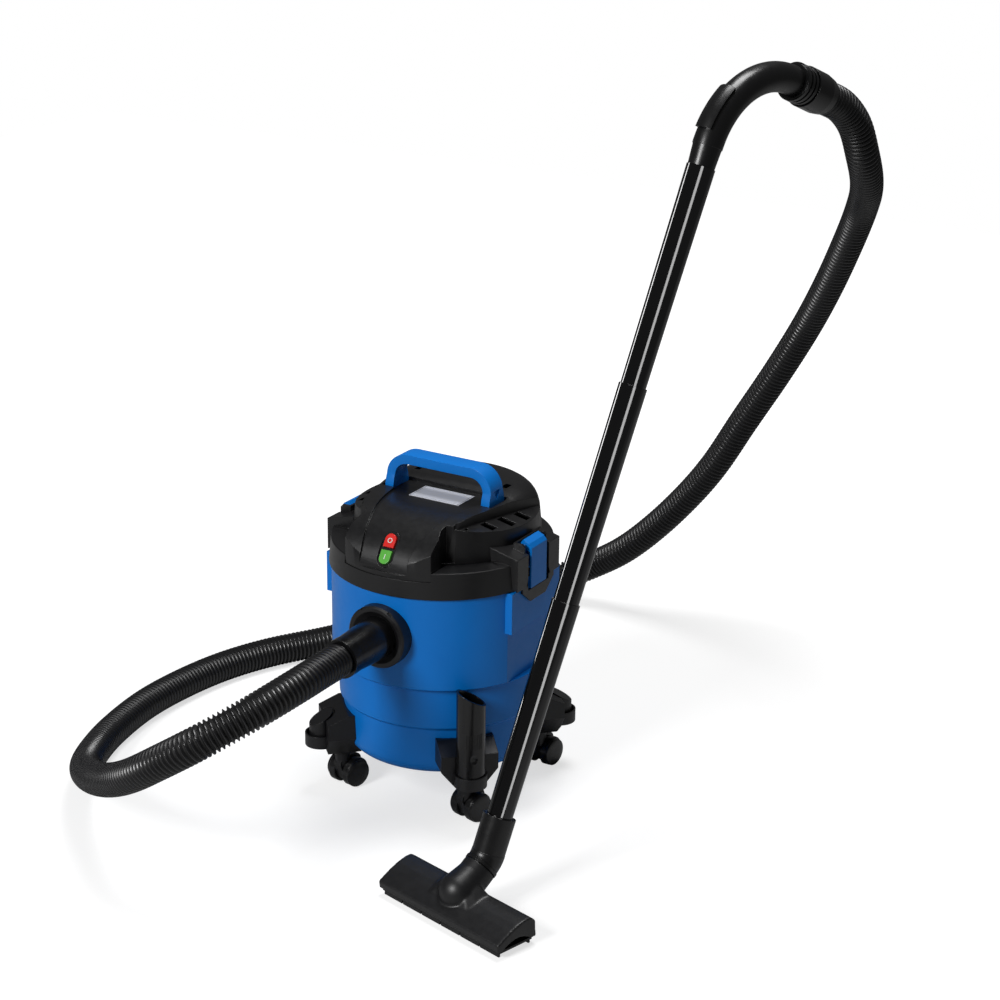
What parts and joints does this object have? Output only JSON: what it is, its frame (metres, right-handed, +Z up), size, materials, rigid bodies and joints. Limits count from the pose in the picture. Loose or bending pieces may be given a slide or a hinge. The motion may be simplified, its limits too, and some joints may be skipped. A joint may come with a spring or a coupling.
{
  "type": "shop vacuum",
  "caption": "Wet-and-dry shop vacuum: round wheeled tank, buckled lift-off motor head with carry handle, corrugated hose, tubular wand with hand grip, floor nozzle and stored crevice tool.",
  "frame": {"origin": "where the tank's vertical axis meets the floor that the casters stand on", "axes": "+Z up; -Y the way the hose inlet and the switch face; +X to the right of someone who looks at the switch"},
  "size_m": [0.8554, 1.0864, 0.9329],
  "materials": {
    "blue_plastic": "semi-gloss moulded ABS",
    "black_plastic": "fine-grained moulded polypropylene",
    "gloss_black_plastic": "glossy moulded polypropylene",
    "hose_plastic": "glossy corrugated polyethylene",
    "grey_plastic": "plain moulded plastic",
    "white_plastic": "plain moulded plastic",
    "red_plastic": "glossy",
    "green_plastic": "glossy",
    "rubber": "matt",
    "foam": "open-cell foam",
    "bristle": "nylon bristle",
    "steel": "zinc plated",
    "motor_metal": "laminated stack and painted housing",
    "aluminium": "pressed",
    "label_film": "satin printed film"
  },
  "bodies": {
    "machine": {"tank": "blue_plastic", "inlet_flange": "black_plastic", "inlet_deflector": "grey_plastic", "tool_mount_front_left": "black_plastic", "tool_mount_front_right": "black_plastic", "tool_mount_rear_left": "black_plastic", "tool_mount_rear_right": "black_plastic", "mount_screws": "steel", "hose_connector": "gloss_black_plastic", "hose": "hose_plastic", "swivel_collar": "gloss_black_plastic", "wand_lower": "gloss_black_plastic", "wand_middle": "gloss_black_plastic", "wand_upper": "gloss_black_plastic", "hand_grip": "gloss_black_plastic", "nozzle_elbow": "gloss_black_plastic"},
    "head": {"tank_gasket": "rubber", "head_base": "black_plastic", "head_cover": "black_plastic", "head_screws": "steel", "carry_handle": "blue_plastic", "handle_screws": "steel", "label_plate": "label_film", "switch_bezel": "gloss_black_plastic", "switch_block": "grey_plastic", "motor": "motor_metal", "motor_gasket": "rubber", "float_cage": "black_plastic", "filter_sleeve": "foam", "filter_band": "grey_plastic", "cable_gland": "grey_plastic", "buckle_pins": "steel"},
    "buckle_left": {"buckle_left": "blue_plastic"},
    "buckle_right": {"buckle_right": "blue_plastic"},
    "red_button": {"red_button": "red_plastic"},
    "green_button": {"green_button": "green_plastic"},
    "fan": {"fan": "aluminium"},
    "float": {"float": "white_plastic"},
    "crevice_tool": {"crevice_tool": "gloss_black_plastic"},
    "hose_cuff": {"hose_cuff": "gloss_black_plastic"},
    "bleed_slider": {"bleed_slider": "gloss_black_plastic"},
    "floor_nozzle": {"neck_ring": "black_plastic", "nozzle_shell": "black_plastic", "nozzle_sole": "black_plastic", "front_brush": "bristle", "rear_brush": "bristle"},
    "caster_front_left": {"caster_fork_front_left": "black_plastic", "caster_axle_front_left": "steel"},
    "wheels_front_left": {"caster_wheels_front_left": "black_plastic"},
    "caster_front_right": {"caster_fork_front_right": "black_plastic", "caster_axle_front_right": "steel"},
    "wheels_front_right": {"caster_wheels_front_right": "black_plastic"},
    "caster_rear_left": {"caster_fork_rear_left": "black_plastic", "caster_axle_rear_left": "steel"},
    "wheels_rear_left": {"caster_wheels_rear_left": "black_plastic"},
    "caster_rear_right": {"caster_fork_rear_right": "black_plastic", "caster_axle_rear_right": "steel"},
    "wheels_rear_right": {"caster_wheels_rear_right": "black_plastic"}
  },
  "joints": [
    {"name": "head_lift", "type": "slide", "parent": "machine", "child": "head", "axis": [0, 0, 1], "range_m": [0, 0.2]},
    {"name": "buckle_left_hinge", "type": "hinge", "parent": "head", "child": "buckle_left", "pos_m": [-0.1295, 0, 0.351], "axis": [0, 1, 0], "range_deg": [0, 60]},
    {"name": "buckle_right_hinge", "type": "hinge", "parent": "head", "child": "buckle_right", "pos_m": [0.1295, 0, 0.351], "axis": [0, -1, 0], "range_deg": [0, 60]},
    {"name": "red_button_press", "type": "slide", "parent": "head", "child": "red_button", "axis": [0, 0.809, -0.5878], "range_m": [0, 0.002], "stiffness_N_per_m": 300, "springref_m": -0.003},
    {"name": "green_button_press", "type": "slide", "parent": "head", "child": "green_button", "axis": [0, 0.809, -0.5878], "range_m": [0, 0.002], "stiffness_N_per_m": 300, "springref_m": -0.003},
    {"name": "fan_spin", "type": "hinge", "parent": "head", "child": "fan", "pos_m": [0, 0, 0.28], "axis": [0, 0, 1], "continuous": true},
    {"name": "float_rise", "type": "slide", "parent": "head", "child": "float", "axis": [0, 0, 1], "range_m": [0, 0.029]},
    {"name": "caster_front_left_swivel", "type": "hinge", "parent": "machine", "child": "caster_front_left", "pos_m": [-0.09192, -0.09192, 0.06], "axis": [0, 0, 1], "continuous": true},
    {"name": "caster_front_left_roll", "type": "hinge", "parent": "caster_front_left", "child": "wheels_front_left", "pos_m": [-0.09036, -0.08205, 0.019], "axis": [0.9877, -0.1564, 0], "continuous": true},
    {"name": "caster_front_right_swivel", "type": "hinge", "parent": "machine", "child": "caster_front_right", "pos_m": [0.09192, -0.09192, 0.06], "axis": [0, 0, 1], "continuous": true},
    {"name": "caster_front_right_roll", "type": "hinge", "parent": "caster_front_right", "child": "wheels_front_right", "pos_m": [0.09451, -0.08227, 0.019], "axis": [0.9659, -0.2588, 0], "continuous": true},
    {"name": "caster_rear_left_swivel", "type": "hinge", "parent": "machine", "child": "caster_rear_left", "pos_m": [-0.09192, 0.09192, 0.06], "axis": [0, 0, 1], "continuous": true},
    {"name": "caster_rear_left_roll", "type": "hinge", "parent": "caster_rear_left", "child": "wheels_rear_left", "pos_m": [-0.09105, 0.10189, 0.019], "axis": [0.9962, -0.0872, 0], "continuous": true},
    {"name": "caster_rear_right_swivel", "type": "hinge", "parent": "machine", "child": "caster_rear_right", "pos_m": [0.09192, 0.09192, 0.06], "axis": [0, 0, 1], "continuous": true},
    {"name": "caster_rear_right_roll", "type": "hinge", "parent": "caster_rear_right", "child": "wheels_rear_right", "pos_m": [0.0921, 0.10192, 0.019], "axis": [0.9998, -0.0175, 0], "continuous": true},
    {"name": "crevice_tool_pull", "type": "slide", "parent": "machine", "child": "crevice_tool", "axis": [0, 0, 1], "range_m": [0, 0.1]},
    {"name": "hose_cuff_swivel", "type": "hinge", "parent": "machine", "child": "hose_cuff", "pos_m": [0.3507, 0.20467, 0.90615], "axis": [0.2475, 0.8866, -0.3907], "continuous": true},
    {"name": "bleed_slide", "type": "hinge", "parent": "machine", "child": "bleed_slider", "pos_m": [0.33914, 0.16328, 0.80489], "axis": [-0.9632, 0.2689, 0], "range_deg": [0, 12]},
    {"name": "nozzle_swivel", "type": "hinge", "parent": "machine", "child": "floor_nozzle", "pos_m": [0.22004, -0.26331, 0.0545], "axis": [0.2176, 0.7792, 0.5878], "range_deg": [-60, 60]}
  ]
}
